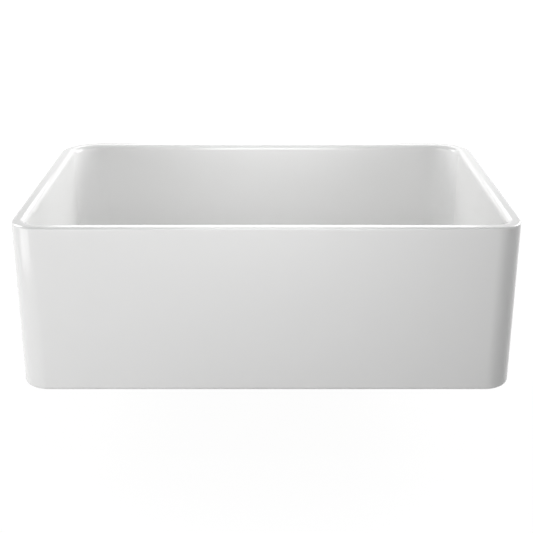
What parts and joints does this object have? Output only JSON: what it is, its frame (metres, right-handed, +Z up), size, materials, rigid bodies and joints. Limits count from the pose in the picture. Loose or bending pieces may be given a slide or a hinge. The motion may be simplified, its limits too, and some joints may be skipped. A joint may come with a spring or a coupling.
{
  "type": "apron front kitchen sink",
  "caption": "White apron front kitchen sink with one deep bowl, a slim flat rim and rounded corners, and a lift-out basket strainer with its drain tailpiece underneath.",
  "frame": {"origin": "middle of the basin's base, on the plane of its bearing band", "axes": "+X to the right, +Y to the back, +Z up; the apron faces -Y"},
  "size_m": [0.762, 0.508, 0.4125],
  "materials": {
    "white_glaze": "white gloss glaze over fireclay",
    "brushed_steel": "satin stainless steel",
    "polished_steel": "bright polished",
    "cast_zinc": "dull die-cast zinc",
    "black_rubber": "matt black rubber",
    "fibre_board": "pressed fibre",
    "white_plastic": "natural polyethylene"
  },
  "bodies": {
    "sink": {"basin": "white_glaze", "strainer_body": "brushed_steel", "flange_gasket": "white_plastic", "rubber_gasket": "black_rubber", "friction_washer": "fibre_board", "locknut": "cast_zinc", "outlet_cross": "cast_zinc", "tailpiece_washer": "white_plastic", "tailpiece": "polished_steel", "coupling_nut": "cast_zinc"},
    "stopper": {"basket_post": "polished_steel", "basket_knob": "polished_steel", "stopper_seal": "black_rubber", "seal_retainer": "brushed_steel", "stopper_nut": "brushed_steel", "snap_ring": "brushed_steel"},
    "basket": {"basket_cup": "polished_steel"}
  },
  "joints": [
    {"name": "basket_lift", "type": "slide", "parent": "sink", "child": "stopper", "axis": [0, 0, 1], "range_m": [0, 0.32]},
    {"name": "basket_turn", "type": "hinge", "parent": "stopper", "child": "basket", "pos_m": [0, 0.076, 0], "axis": [0, 0, 1], "continuous": true}
  ]
}
